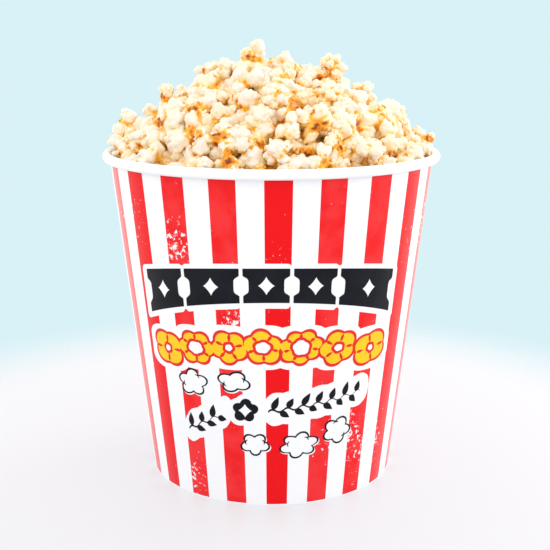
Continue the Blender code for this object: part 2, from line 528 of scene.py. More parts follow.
up = np.linspace(0, 1, slab_rows)[:, None]
across = np.linspace(0, 1, slab_columns)
waist = slab_waist * np.clip(1 - (np.abs(up - 0.5) / 0.27) ** 6, 0, 1)
for left, right in zip(slab_joints[:-1], slab_joints[1:]):
    starts = left + slab_gap + waist
    ends = right - slab_gap - waist
    slab_azimuth = starts * (1 - across) + ends * across
    slab_height = slab_foot(slab_azimuth) * (1 - up) + slab_top(slab_azimuth) * up
    slab = on_wall(slab_azimuth[::-1], slab_height[::-1], 2)
    black_fields.append((slab, [grid_faces(slab_rows, slab_columns)]))
    middle = (left + right) / 2
    star_height = (slab_foot(middle) + slab_top(middle)) / 2
    star = starred(slab_star, slab_star * 1.15)
    white_fields.append(inked_outline(middle, star_height, star, 3))

# Its white ground has rounded ends, and draws in where two slabs meet.
key_azimuth = np.linspace(slab_joints[0] - 2.1, slab_joints[-1] + 2.1, 160)
key_end = np.minimum(key_azimuth - key_azimuth[0], key_azimuth[-1] - key_azimuth) / 1.6
key_round = np.sqrt(np.clip(1 - (1 - np.clip(key_end, 0, 1)) ** 2, 0, 1))
cusps = sum(np.exp(-(((key_azimuth - joint) / 0.7) ** 2)) for joint in slab_joints[1:-1])
key_high = slab_top(key_azimuth) + keyline - 0.0010 * cusps
key_low = slab_foot(key_azimuth) - keyline * 1.2 + 0.0018 * cusps
key_half = (key_high - key_low) / 2 * (0.86 + 0.14 * key_round)
white_fields.append(inked_band(key_azimuth, (key_high + key_low) / 2, key_half, 1))


def inked_arc(azimuth, height, radius, start, end, half_stroke, layer):
    """A stroke along an arc in degrees round a middle, widest halfway and pointed at its ends."""
    angle = np.radians(np.linspace(start, end, 24))
    stroke = half_stroke * np.sqrt(np.sin(np.linspace(0.02, np.pi - 0.02, 24)))
    edges = []
    for reach in (radius + stroke, radius - stroke):
        across = azimuth + np.degrees(reach * np.cos(angle) / cone_radius(height))
        edges.append(np.stack([across, height + reach * np.sin(angle)], axis=1))
    return inked_field(*edges, layer, rows=3)


def inked_leaf(azimuth, height, length, half_width, lean, layer):
    """A leaf from its stalk: its half width is the sine of pi times the share along it, to 0.7."""
    along = np.linspace(0.02, 0.98, 14)
    out = length * along
    edges = []
    for half in (-half_width, half_width):
        aside = half * np.sin(np.pi * along**0.7)
        across = (out * math.cos(lean) - aside * math.sin(lean)) / cone_radius(height)
        up = out * math.sin(lean) + aside * math.cos(lean)
        edges.append(np.stack([azimuth + np.degrees(across), height + up], axis=1))
    return inked_field(*edges, layer, rows=4)


# The row of yellow puffs: azimuth, half width in degrees, lobes, and the size of the white eye.
# Each is a popped flake drawn in yellow, with a thick red outline and a red crease in each notch.
puffs = (
    (-43.6, 8.4, 4, 0.0015),
    (-29.6, 8.0, 6, 0.0033),
    (-15.9, 7.2, 5, 0.0016),
    (-3.2, 7.6, 5, 0.0029),
    (10.9, 8.4, 7, 0.0036),
    (25.6, 8.0, 5, 0.0018),
    (40.9, 8.8, 4, 0.0014),
)
puff_half_height = 0.0093
puff_swell = 0.20
puff_step = 0.12  # ink layers by which each puff overlaps the one before
red_margin = 0.0015
eye_spread = 1.15
eye_swell = 0.12
crease_half_width = 0.0008
crease_start = 0.90  # as a share of the way out to the yellow's edge
crease_length = 0.72  # as a share of the way from that edge to the eye
ground_spread = 2.6  # degrees by which the white ground passes a puff


def puff_height(azimuth):
    """The middle of the row: an arch that falls with the azimuth squared."""
    return 0.0872 - 3.3e-6 * azimuth**2


puff_key_azimuth = np.linspace(-54.0, 52.5, 240)
puff_key_high = np.full(240, 0.0)
puff_key_low = np.full(240, 1.0)
for order, (azimuth, half_angle, lobes, eye) in enumerate(puffs):
    middle = puff_height(azimuth)
    half_width = math.radians(half_angle) * cone_radius(middle)
    yellow_half_width = half_width - red_margin
    yellow_half_height = puff_half_height - red_margin
    turn = 0.5 * order
    step = order * puff_step
    ground = lobed(half_width, puff_half_height, lobes, turn, puff_swell)
    filled = lobed(yellow_half_width, yellow_half_height, lobes, turn, puff_swell)
    red_fields.append(inked_outline(azimuth, middle, ground, 2 + step))
    yellow_fields.append(inked_outline(azimuth, middle, filled, 3 + step))
    for lobe in range(lobes):
        toward = 2 * lobe * math.pi / lobes - turn
        aside = crease_start * yellow_half_width * math.cos(toward)
        up = crease_start * yellow_half_height * math.sin(toward)
        notch = azimuth + math.degrees(aside / cone_radius(middle))
        length = crease_length * (yellow_half_height - eye)
        inward = math.atan2(-up, -aside)
        crease = inked_leaf(notch, middle + up, length, crease_half_width, inward, 4 + step)
        red_fields.append(crease)
    eye_width = eye_spread * eye
    red_ring = lobed(eye_width + red_margin, eye + red_margin, 5, order, eye_swell)
    red_fields.append(inked_outline(azimuth, middle, red_ring, 4.1 + step))
    white_eye = lobed(eye_width, eye, 5, order, eye_swell)
    white_fields.append(inked_outline(azimuth, middle, white_eye, 5 + step))
    away = np.abs(puff_key_azimuth - azimuth) / (half_angle + ground_spread)
    swell = np.clip(1 - np.clip(away, 0, 1) ** 3, 0, 1) ** (1 / 3)
    key_half = (puff_half_height + keyline) * swell
    near = away < 1
    puff_key_high = np.where(near, np.maximum(puff_key_high, middle + key_half), puff_key_high)
    puff_key_low = np.where(near, np.minimum(puff_key_low, middle - key_half), puff_key_low)
covered = puff_key_high > puff_key_low
key_middle = (puff_key_high + puff_key_low)[covered] / 2
key_half = (puff_key_high - puff_key_low)[covered] / 2
white_fields.append(inked_band(puff_key_azimuth[covered], key_middle, key_half, 1))

# The leafy sprigs: ends in azimuth and height, and leaves. The ground under them is white.
sprigs = (
    (-36.6, 0.0385, -20.0, 0.0500, 6),
    (-1.4, 0.0530, 38.0, 0.0590, 13),
)
leaf_length = 0.0068
leaf_half_width = 0.0017
stem_half_width = 0.0005
stem_wave = 0.0009
ground_margin = 0.0090
ground_lift = 0.0008
for start, start_height, end, end_height, leaves in sprigs:
    along = np.linspace(0, 1, 60)
    azimuth = start * (1 - along) + end * along
    height = start_height * (1 - along) + end_height * along
    height = height + stem_wave * np.sin(np.pi * leaves * along)
    half = stem_half_width * (1.2 - 0.9 * along)
    black_fields.append(inked_band(azimuth, height, half, 2, rows=3))
    run = math.radians(end - start) * cone_radius(end_height)
    rise = math.atan2(end_height - start_height, run)
    for leaf in range(leaves):
        share = (leaf + 0.6) / (leaves + 0.4)
        upper = leaf % 2 == 0
        lean = rise + (1.05 if upper else -0.75) + 0.15 * math.sin(2.7 * leaf)
        length = leaf_length * (1.0 if upper else 0.8) * (1 + 0.14 * math.sin(1.9 * leaf + 1))
        stalk = start * (1 - share) + end * share
        stalk_height = np.interp(stalk, azimuth, height)
        layer = 2.2 + 0.05 * leaf
        black_fields.append(inked_leaf(stalk, stalk_height, length, leaf_half_width, lean, layer))
    ground = np.linspace(start - 2.2, end + 4.6, 90)
    share = (ground - start) / (end - start)
    ground_line = start_height * (1 - share) + end_height * share + ground_lift
    ground_end = np.clip(np.minimum(ground - ground[0], ground[-1] - ground) / 4.5, 0.001, 1)
    scallops = 0.93 + 0.07 * np.abs(np.sin(np.pi * (leaves + 0.4) * share / 2))
    ground_half = ground_margin * np.sqrt(1 - (1 - ground_end) ** 2) * scallops
    white_fields.append(inked_band(ground, ground_line, ground_half, 1))

# Between the sprigs, a black puff with a white star in it.
badge = (-10.5, 0.0532)
white_fields.append(inked_outline(*badge, lobed(0.0090, 0.0086, 5, 0.4, 0.12), 1.2))
black_fields.append(inked_outline(*badge, lobed(0.0060, 0.0058, 5, 0.4, 0.30), 2))
white_fields.append(inked_outline(*badge, starred(0.0034, 0.0036), 3))

# The drawn puffs: azimuth, height, half width and half height in metres, lobes, and their turn.
# Each is outlined in black over a white field set a little aside, and has two short ticks in it.
drawn_puffs = (
    (-32.5, 0.0651, 0.0083, 0.0066, 5, 0.3),
    (-14.6, 0.0683, 0.0076, 0.0055, 4, 1.2),
    (-6.8, 0.0348, 0.0066, 0.0060, 5, 0.9),
    (11.4, 0.0341, 0.0090, 0.0067, 6, 0.2),
    (27.9, 0.0397, 0.0078, 0.0066, 5, 2.0),
)
line_width = 0.0010
tick_radius = 0.0016
tick_half_width = 0.00032
for azimuth, height, half_width, half_height, lobes, turn in drawn_puffs:
    reach = lobed(half_width, half_height, lobes, turn, 0.34)
    black_fields.append(inked_outline(azimuth, height, reach, 2.5, inside=line_width, rows=3))
    white_fields.append(inked_outline(azimuth + 0.35, height - 0.0006, reach, 1.5))
    for notch in (1, 3):
        toward = 2 * notch * math.pi / lobes - turn
        aside = 0.50 * half_width * math.cos(toward)
        place = azimuth + math.degrees(aside / cone_radius(height))
        up = height + 0.50 * half_height * math.sin(toward)
        bow = math.degrees(toward) - 60
        tick = inked_arc(place, up, tick_radius, bow, bow + 120, tick_half_width, 2.6)
        black_fields.append(tick)


def ink_material(name, colour, worn_colour):
    """Glossy ink on board: its colour, a little uneven, with the board's surface under it."""
    material, tree, shader = new_material(name, 0.30, 0.10)
    place = object_place(tree)
    surface = placed_group(tree, board_surface, Place=place)
    tone = blend_colours(tree, surface.outputs["Tone"], worn_colour, colour)
    tree.links.new(tone, shader.inputs["Base Color"])
    bumped(tree, shader, surface.outputs["Height"], 0.00003, 0.35)
    return material


def inked(name, fields, material):
    """A piece of films from many (points, face arrays) fields, crisp at each field's border."""
    points = []
    faces = []
    used = 0
    for field_points, field_faces in fields:
        flat = field_points.reshape(-1, 3)
        points.append(flat)
        faces += [array + used for array in field_faces]
        used += len(flat)
    piece = mesh_object(name, np.vstack(points), faces, [material])
    corner_edges = np.empty(len(piece.data.loops), np.int32)
    piece.data.loops.foreach_get("edge_index", corner_edges)
    at_border = np.bincount(corner_edges, minlength=len(piece.data.edges)) == 1
    crisp = piece.data.attributes.new("sharp_edge", "BOOLEAN", "EDGE")
    crisp.data.foreach_set("value", at_border)
    film = piece.modifiers.new("film", "SOLIDIFY")
    film.thickness = film_thickness
    film.offset = -1.0
    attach(piece, "root")


white_ink = ink_material("white ink", coated_white, coated_white_cool)
black_ink = ink_material("black ink", (0.006, 0.007, 0.011), (0.010, 0.011, 0.017))
red_ink = ink_material("red ink", (0.78, 0.035, 0.03), (0.72, 0.03, 0.028))
yellow_ink = ink_material("yellow ink", (0.96, 0.60, 0.022), (0.95, 0.56, 0.02))
inked("print_white", white_fields, white_ink)
inked("print_black", black_fields, black_ink)
inked("print_red", red_fields, red_ink)
inked("print_yellow", yellow_fields, yellow_ink)

# --- Popcorn -------------------------------------------------------------------------------------
# 280 popped flakes of five kinds, piled on one another, most with their hull turned outwards. Each
# is one kernel turned inside out by steam: rounded lobes of white foam round a knot that still
# holds scraps of amber hull. It is buttered in patches, and its creases and sheltered sides are
# painted gold as warm shade.

outline = BVHTree.FromObject(
    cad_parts["popcorn_heap"], bpy.context.evaluated_depsgraph_get()
)
heap_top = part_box("popcorn_heap")[1].z
clearance = 0.0002  # between the popcorn and the board
rim_inset = 0.0010  # how far inside the roll's outer edge the popcorn stops
ledge = 0.0006  # how far above the rim it starts to reach out over the roll
ledge_rise = 0.0045  # height over which it does
map_reach = 0.090
map_count = 91
map_line = np.linspace(-map_reach, map_reach, map_count)
map_step = map_line[1] - map_line[0]


def outline_above(x, y):
    """The height at which a ray straight down meets the heap's outline."""
    hit = outline.ray_cast(Vector((x, y, heap_top + 0.01)), Vector((0, 0, -1)))[0]
    return hit.z if hit else rim_top


height_map = np.array([[outline_above(x, y) for x in map_line] for y in map_line])


def outline_height(x, y):
    """Height of the heap's outline over plan points: the four map values round each, blended."""
    column = np.clip((x + map_reach) / map_step, 0, map_count - 1.001)
    row = np.clip((y + map_reach) / map_step, 0, map_count - 1.001)
    i = column.astype(int)
    j = row.astype(int)
    u = column - i
    v = row - j
    near = height_map[j, i] * (1 - u) + height_map[j, i + 1] * u
    far = height_map[j + 1, i] * (1 - u) + height_map[j + 1, i + 1] * u
    return near * (1 - v) + far * v


def room_radius(height):
    """How far out the popcorn can reach: to the board inside the tub, and over the roll above."""
    inside = cone_radius(np.minimum(height, roll_middle)) - board - clearance
    over_roll = np.clip((height - rim_top - ledge) / ledge_rise, 0, 1)
    return inside + (rim_radius - rim_inset - inside) * over_roll


def spiral_directions(count, lowest, highest, draw, jitter):
    """Directions spread over a band of the sphere: z rises evenly as each turns a golden angle."""
    z = lowest + (highest - lowest) * (np.arange(count) + 0.5) / count
    z = np.clip(z + draw.normal(0, jitter / 4, count), -0.998, 0.998)
    turn = draw.uniform(0, 2 * np.pi) + np.arange(count) * math.pi * (3 - math.sqrt(5))
    turn = turn + draw.normal(0, jitter, count)
    across = np.sqrt(1 - z**2)
    return np.stack([across * np.cos(turn), across * np.sin(turn), z], axis=1)


# Each kind: lobes, the band they point into, how far out they stand and their size in flake radii,
# bumps on a lobe, the bumps' size in lobes, and how far a lobe is drawn out. All are ranges.
flake_kinds = {
    "butterfly": (
        (4, 7), (-0.55, 0.95), (0.42, 0.60), (0.27, 0.40), (5, 9), (0.36, 0.60), (1.0, 1.2)
    ),
    "round": (
        (8, 12), (-0.85, 0.95), (0.42, 0.56), (0.26, 0.36), (3, 6), (0.40, 0.62), (1.0, 1.1)
    ),
    "winged": (
        (3, 5), (-0.45, 0.60), (0.48, 0.64), (0.27, 0.38), (6, 10), (0.35, 0.58), (1.0, 1.3)
    ),
    "petalled": (
        (5, 8), (-0.35, 0.95), (0.38, 0.50), (0.20, 0.28), (2, 5), (0.50, 0.70), (1.4, 1.9)
    ),
    "flat": (
        (5, 7), (-0.25, 0.35), (0.44, 0.60), (0.25, 0.36), (4, 8), (0.38, 0.62), (1.0, 1.3)
    ),
}
grown_radius = 0.011
skin_cell = 0.00048
skin_bulges = ((0.00055, 0.0070), (0.00044, 0.0034))  # height and wavelength of the puffing
crease_depth = 0.0004
scrap_reaches = (0.42, 0.26, 0.20, 0.14)  # of the hull on the knot and of three more scraps
form_triangles = 5200
under_form_triangles = 1200


def ball_grid(around, rings):
    """A unit ball: sin(lean) cos(turn), sin(lean) sin(turn), cos(lean), and a point at each pole."""
    lean = np.linspace(0, np.pi, rings + 2)[1:-1, None]
    turn = np.linspace(0, 2 * np.pi, around, endpoint=False)[None, :]
    sine = np.sin(lean)
    body = np.broadcast_arrays(sine * np.cos(turn), sine * np.sin(turn), np.cos(lean))
    points = np.vstack([np.stack(body, axis=-1).reshape(-1, 3), [[0, 0, 1], [0, 0, -1]]])
    quads = grid_faces(rings, around, closed_columns=True)
    halves = [quads[:, [0, 1, 2]], quads[:, [0, 2, 3]]]
    return points, np.vstack([*halves, *pole_fans(rings, around)])


def lobes_of(kind, draw):
    """Centres, sizes, directions and stretches of one flake's balls, in flake radii.

    A core, lobes that stand out from it along a spiral of directions, a neck from each to the
    core, and smaller bumps over each lobe's outer side.
    """
    counts, band, reaches, sizes, bump_counts, bump_sizes, stretches = flake_kinds[kind]
    count = int(draw.integers(*counts))
    toward = spiral_directions(count, *band, draw, 0.3)
    reach = draw.uniform(*reaches, count)
    size = draw.uniform(*sizes, count)
    stretch = draw.uniform(*stretches, count)
    middles = toward * reach[:, None]
    owner = np.repeat(np.arange(count), draw.integers(*bump_counts, count))
    sideways = draw.normal(0, 1, (len(owner), 3))
    sideways /= np.linalg.norm(sideways, axis=1)[:, None]
    bump_toward = sideways + toward[owner] * draw.uniform(0.3, 1.0, (len(owner), 1))
    bump_toward /= np.linalg.norm(bump_toward, axis=1)[:, None]
    bump_size = size[owner] * draw.uniform(*bump_sizes, len(owner))
    along = (bump_toward * toward[owner]).sum(axis=1, keepdims=True) * toward[owner]
    drawn_out = bump_toward + along * (stretch[owner] - 1)[:, None]
    bumps = middles[owner] + drawn_out * (size[owner] - bump_size * 0.35)[:, None]
    centres = np.vstack([np.zeros((1, 3)), middles, middles * 0.55, bumps])
    all_sizes = np.concatenate([[draw.uniform(0.30, 0.38)], size, size * 0.72, bump_size])
    directions = np.vstack([[[0, 0, 1]], toward, toward, toward[owner]])
    drawn = np.concatenate([[1.0], stretch, np.ones(count), np.ones(len(owner))])
    return centres, all_sizes, directions, drawn


def waves(points, wavelength, draw, count=16):
    """Smooth noise of about -1 to 1: the mean of plane waves with random directions and phases."""
    direction = draw.normal(0, 1, (count, 3))
    direction /= np.linalg.norm(direction, axis=1)[:, None]
    frequency = 2 * np.pi / wavelength * draw.uniform(0.7, 1.5, count)
    phase = draw.uniform(0, 2 * np.pi, count)
    return np.sin(points @ (direction * frequency[:, None]).T + phase).sum(axis=1) / count**0.5


def mesh_arrays(mesh):
    """A mesh's points, normals and triangles as arrays."""
    mesh.calc_loop_triangles()
    points = np.empty(len(mesh.vertices) * 3)
    mesh.vertices.foreach_get("co", points)
    normals = np.empty(len(mesh.vertices) * 3)
    mesh.vertices.foreach_get("normal", normals)
    triangles = np.empty(len(mesh.loop_triangles) * 3, np.int64)
    mesh.loop_triangles.foreach_get("vertices", triangles)
    return points.reshape(-1, 3), normals.reshape(-1, 3), triangles.reshape(-1, 3)


def finished_mesh(piece):
    """The mesh that a piece's modifiers give, after which the piece itself is removed."""
    shown = piece.evaluated_get(bpy.context.evaluated_depsgraph_get())
    mesh = bpy.data.meshes.new_from_object(shown)
    bpy.data.objects.remove(piece)
    return mesh


def neighbour_mean(values, edges):
    """The mean of each point's neighbours along the mesh's edges, for a row of values a point."""
    count = len(values)
    reached = np.bincount(edges.ravel(), minlength=count)
    ends = np.concatenate([edges[:, 0], edges[:, 1]])
    others = np.concatenate([edges[:, 1], edges[:, 0]])
    sums = [np.bincount(ends, column[others], count) for column in values.T]
    return np.stack(sums, axis=1) / np.maximum(reached, 1)[:, None]


def grow_flake(kind, seed, triangles):
    """One flake's skin round the origin: its points, normals, triangles, hull and crease masks.

    Balls for the lobes are wrapped in one skin, which is puffed by the absolute value of waves,
    so that it bulges between sharp creases. A crease is where the neighbours' mean stands
    outside the surface, and the hull's scraps lie within a ragged distance of the knot's side.
    """
    draw = np.random.default_rng(seed)
    centres, sizes, directions, drawn = lobes_of(kind, draw)
    unit, unit_triangles = ball_grid(14, 8)
    squash = draw.uniform(0.80, 1.14, (len(sizes), 1, 3))
    ball = unit[None] * squash
    along = (ball * directions[:, None]).sum(axis=-1, keepdims=True) * directions[:, None]
    ball = ball + along * (drawn - 1)[:, None, None]
    points = (centres[:, None] + ball * sizes[:, None, None]).reshape(-1, 3) * grown_radius
    first_points = np.arange(len(sizes))[:, None, None] * len(unit)
    ball_triangles = (unit_triangles[None] + first_points).reshape(-1, 3)
    balls = mesh_object("balls", points, [ball_triangles], [])
    skin = balls.modifiers.new("skin", "REMESH")
    skin.mode = "VOXEL"
    skin.voxel_size = skin_cell
    soften = balls.modifiers.new("soften", "SMOOTH")
    soften.factor = 0.5
    soften.iterations = 1
    skinned = finished_mesh(balls)
    points, normals, fine_triangles = mesh_arrays(skinned)
    puff = np.zeros(len(points))
    for height, wavelength in skin_bulges:
        puff += height * (np.abs(waves(points, wavelength, draw)) - 0.5)
    skinned.vertices.foreach_set("co", (points + normals * puff[:, None]).ravel())
    puffed = bpy.data.objects.new("puffed", skinned)
    bpy.context.scene.collection.objects.link(puffed)
    thin = puffed.modifiers.new("thin", "DECIMATE")
    thin.ratio = min(1.0, triangles / len(fine_triangles))
    points, normals, flake_triangles = mesh_arrays(finished_mesh(puffed))

    edges = flake_triangles[:, [0, 1, 1, 2, 2, 0]].reshape(-1, 2)
    edges = np.unique(np.sort(edges, axis=1), axis=0)
    mean = points
    for _ in range(4):
        mean = neighbour_mean(mean, edges)
    hollow = ((mean - points) * normals).sum(axis=1)[:, None] / crease_depth
    for _ in range(2):
        hollow = (hollow + neighbour_mean(hollow, edges)) / 2
    from_knot = np.linalg.norm(points, axis=1) / grown_radius
    # The crease mask, high in hollows and near the knot, turns the foam gold: partly painted shade,
    # partly buttered foam.
    crease = np.clip(hollow[:, 0] * 0.8 + (0.62 - from_knot) * 1.2, 0, 1)

    scraps = np.vstack([[0, 0, -0.32], spiral_directions(3, -0.8, 0.3, draw, 0.8) * 0.45])
    reaches = np.array(scrap_reaches) * draw.uniform(0.7, 1.3, 4)
    to_scrap = np.linalg.norm(points[:, None] / grown_radius - scraps[None], axis=2)
    ragged = 0.09 * waves(points, 0.0040, draw) + 0.08 * waves(points, 0.0019, draw)
    hull = np.clip(1 - (to_scrap + ragged[:, None]) / reaches, 0, 1).max(axis=1)
    return points, normals, flake_triangles, hull, crease


# Five forms of each kind for the heap's outside, and three simpler ones for the layer under it.
forms = {}
under_forms = {}
for order, kind in enumerate(flake_kinds):
    seed = 100 * order
    forms[kind] = [grow_flake(kind, seed + i, form_triangles) for i in range(5)]
    under_forms[kind] = [grow_flake(kind, seed + 50 + i, under_form_triangles) for i in range(3)]

# The heap's flakes: those along its crest and one that carries each of them, then a spread over
# the outline, then a layer under it. A crest flake is x, y, the height of its top, and its radius.
crest_flakes = np.array(
    [
        [-0.0785, 0.002, 0.1962, 0.0088],
        [-0.0558, -0.003, 0.2098, 0.0076],
        [-0.0335, 0.003, 0.2212, 0.0088],
        [-0.0110, -0.004, 0.2322, 0.0110],
        [0.0010, 0.006, 0.2238, 0.0090],
        [0.0122, 0.004, 0.2262, 0.0098],
        [0.0322, -0.002, 0.2252, 0.0078],
        [0.0495, 0.003, 0.2105, 0.0082],
        [0.0690, -0.003, 0.1985, 0.0088],
        [0.0820, 0.002, 0.1872, 0.0094],
    ]
)
top_count = 128
under_count = 132
stand_out = 0.92  # from a flake's centre to its top, in its radii
heart = np.array([0.0, 0.0, rim_top - 0.011])  # the middle that the flakes lie round
draw = np.random.default_rng(7)


def shell_places(count, lowest, sink):
    """Places on rays from the tub's middle, evenly spread, at a depth under the outline."""
    rays = spiral_directions(count, lowest, 1.0, draw, 0.12)
    hits = [outline.ray_cast(Vector(heart + ray * 0.2), Vector(-ray))[0] for ray in rays]
    return np.array(hits) - rays * sink


crest_flakes = np.vstack([crest_flakes, crest_flakes + [0.003, 0.006, -0.0125, 0.0015]])
crest_centres = crest_flakes[:, :3] - [0, 0, stand_out] * crest_flakes[:, 3:]
flake_radii = np.concatenate(
    [
        crest_flakes[:, 3] * 1.08,
        draw.uniform(0.0096, 0.0145, top_count),
        draw.uniform(0.0105, 0.0135, under_count),
    ]
)
flake_sinks = np.concatenate(
    [
        np.zeros(len(crest_flakes)),
        draw.uniform(-0.0005, 0.0050, top_count),
        draw.uniform(0.0070, 0.0110, under_count),
    ]
)
flake_places = np.vstack(
    [crest_centres, shell_places(top_count, -0.04, 0.010), shell_places(under_count, -0.15, 0.024)]
)
flake_count = len(flake_radii)
loose = np.arange(flake_count) >= len(crest_flakes)
is_under = np.arange(flake_count) >= flake_count - under_count
same_layer = is_under[:, None] == is_under[None, :]
spacing = np.where(same_layer, 0.68, 0.45) * (flake_radii[:, None] + flake_radii[None, :])
wall_room = flake_radii * np.where(is_under, 0.42, 0.54)

# They settle: each moves off its neighbours, then to its depth under the outline, along the
# outline's own normal, and back inside the tub. Those beside the crest lie a little lower.
slope_reach = 0.004
steepest = 1.6
crest_notch = 0.0036
notch_middle = 0.010
notch_width = 0.018
push_share = 0.35
rise_share = 0.6


def outline_slope(x, y, step_x, step_y):
    """How steeply the outline rises along a step: the height after it less that before it."""
    difference = outline_height(x + step_x, y + step_y) - outline_height(x - step_x, y - step_y)
    return difference / (2 * slope_reach)


for _ in range(110):
    gap = flake_places[:, None] - flake_places[None]
    distance = np.linalg.norm(gap, axis=2) + np.eye(flake_count)
    short = np.clip(spacing - distance, 0, None) * (1 - np.eye(flake_count))
    push = (gap / distance[..., None] * short[..., None]).sum(axis=1) * push_share
    x, y, z = (flake_places + push * loose[:, None]).T
    lean_x = outline_slope(x, y, slope_reach, 0)
    lean_y = outline_slope(x, y, 0, slope_reach)
    slope = np.hypot(lean_x, lean_y)
    steep = np.clip(slope, 1e-6, steepest) / np.maximum(slope, 1e-6)
    upward = np.stack([-lean_x * steep, -lean_y * steep, np.ones(flake_count)], axis=1)
    upward /= np.linalg.norm(upward, axis=1)[:, None]
    depth = (outline_height(x, y) - z) * upward[:, 2]
    notch = crest_notch * np.exp(-(((y - notch_middle) / notch_width) ** 2))
    rise = (depth - flake_radii * stand_out - flake_sinks - notch) * rise_share
    moved = np.stack([x, y, z], axis=1) + upward * rise[:, None]
    reach = np.hypot(moved[:, 0], moved[:, 1])
    room = room_radius(moved[:, 2]) - wall_room
    moved[:, :2] *= np.minimum(1, room / np.maximum(reach, 1e-6))[:, None]
    flake_places = np.where(loose[:, None], moved, flake_places)

# Each flake is a form turned at random. Most turn the knot with its hull outwards.
heap_parts = {kind: [] for kind in flake_kinds}
kind_names = list(flake_kinds)
kind_order = np.concatenate(
    [draw.permutation(flake_count - under_count), draw.permutation(under_count)]
) % len(kind_names)
hull_outwards = 0.6  # the share of flakes turned so
for index in range(flake_count):
    kind = kind_names[kind_order[index]]
    choices = under_forms[kind] if is_under[index] else forms[kind]
    points, normals, triangles, hull, crease = choices[int(draw.integers(len(choices)))]
    spin = Quaternion(draw.normal(0, 1, 4)).normalized()
    outward = flake_places[index] - heart + draw.normal(0, 0.030, 3)
    if draw.uniform() < hull_outwards:
        knot_now = spin @ Vector((0, 0, -1))
        spin = knot_now.rotation_difference(Vector(outward)) @ spin
    turned = np.array(spin.to_matrix())
    scale = flake_radii[index] / grown_radius * draw.uniform(0.92, 1.10, 3)
    placed = (points * scale) @ turned.T + flake_places[index]
    if index < len(crest_flakes):
        placed[:, 2] += crest_flakes[index, 2] - placed[:, 2].max()
    tone = np.full(len(points), draw.uniform())
    heap_parts[kind].append((placed, normals @ turned.T, triangles, hull, crease, tone))


def kept_inside(points):
    """Points drawn in to the room inside the tub, over its roll, and under the heap's top."""
    reach = np.hypot(points[:, 0], points[:, 1])
    inward = np.minimum(1, room_radius(points[:, 2]) / np.maximum(reach, 1e-6))
    return np.stack(
        [points[:, 0] * inward, points[:, 1] * inward, np.minimum(points[:, 2], heap_top - 0.0002)],
        axis=1,
    )


# How much foam stands before each point: a count of points in cells, blurred, read off its normal.
# Where it is high, the popcorn's colour is painted gold as shade.
cell = 0.0020
full_cell = 12.0  # points in a cell that is full of foam
corner = np.array([-0.094, -0.094, 0.135])
cell_counts = (94, 94, 54)
every_point = np.vstack([part[0] for parts in heap_parts.values() for part in parts])
cell_edges = [corner[axis] + cell * np.arange(cell_counts[axis] + 1) for axis in range(3)]
crowd = np.histogramdd(every_point, bins=cell_edges)[0]
crowd = np.minimum(crowd, full_cell) / full_cell
for axis in range(3):
    for _ in range(2):
        crowd = (np.roll(crowd, 1, axis) + 2 * crowd + np.roll(crowd, -1, axis)) / 4


def crowding(places):
    """The blurred count of foam in the cell that holds each place."""
    index = np.floor((places - corner) / cell).astype(int)
    index = np.clip(index, 0, np.array(cell_counts) - 1)
    return crowd[index[:, 0], index[:, 1], index[:, 2]]


def shelter_at(points, normals):
    """How closed in a point is: crowding 3 to 11 mm off it along its normal, and overhead."""
    upright = np.array([0.0, 0.0, 1.0])
    total = np.zeros(len(points))
    for distance in (0.003, 0.005, 0.008, 0.011):
        total += 0.16 * crowding(points + normals * distance)
        total += 0.12 * crowding(points + (normals + upright) * distance)
    return total


popcorn, tree, shader = new_material("popcorn", 0.50, 0.35)
shader.inputs["Subsurface Weight"].default_value = 0.25
shader.inputs["Subsurface Radius"].default_value = (1.0, 0.75, 0.50)
shader.inputs["Subsurface Scale"].default_value = 0.0020
place = object_place(tree)
patches = noise(tree, place, 130, 3.0)
grains = noise(tree, place, 900, 3.0)
# Gold from buttered patches, and gold as painted warm shade where the foam is creased or sheltered.
butter_and_painted_shade = weighted_sum(
    tree,
    painted(tree, "shelter_shade"),
    (painted(tree, "crease"), 1.00),
    (patches, 0.70),
    (painted(tree, "tone"), 0.16),
    (grains, 0.20),
)
hull = weighted_sum(tree, painted(tree, "hull"), (grains, 0.36))
# Foam gilded where it is buttered and by painted shade, then hull from its thin amber edge to its
# dark middle, then specks.
foam = (0.93, 0.825, 0.725)
for mask, low, high, colour in (
    (butter_and_painted_shade, 0.45, 0.95, (0.985, 0.785, 0.42)),
    (butter_and_painted_shade, 0.78, 1.35, (1.0, 0.53, 0.035)),
    (hull, 0.29, 0.50, (1.0, 0.50, 0.035)),
    (hull, 0.56, 0.76, (0.78, 0.27, 0.012)),
    (hull, 0.90, 1.04, (0.28, 0.055, 0.007)),
):
    foam = blend_colours(tree, ease(tree, mask, low, high), foam, colour)
specks = ease(tree, noise(tree, place, 1150, 1.0), 0.735, 0.765)
foam = blend_colours(tree, calculate(tree, "MULTIPLY", specks, 0.7), foam, (0.45, 0.22, 0.05))
tree.links.new(foam, shader.inputs["Base Color"])
oily = ease(tree, hull, 0.34, 0.62)
tree.links.new(weighted_sum(tree, 0.56, (oily, -0.26)), shader.inputs["Roughness"])
cells = node(tree, "ShaderNodeTexVoronoi", feature="F1")
feed(tree, cells.inputs["Vector"], place)
cells.inputs["Scale"].default_value = 430
crinkles = calculate(tree, "SUBTRACT", noise(tree, place, 1500, 4.0), cells.outputs["Distance"])
bumped(tree, shader, crinkles, 0.00050, 0.38)

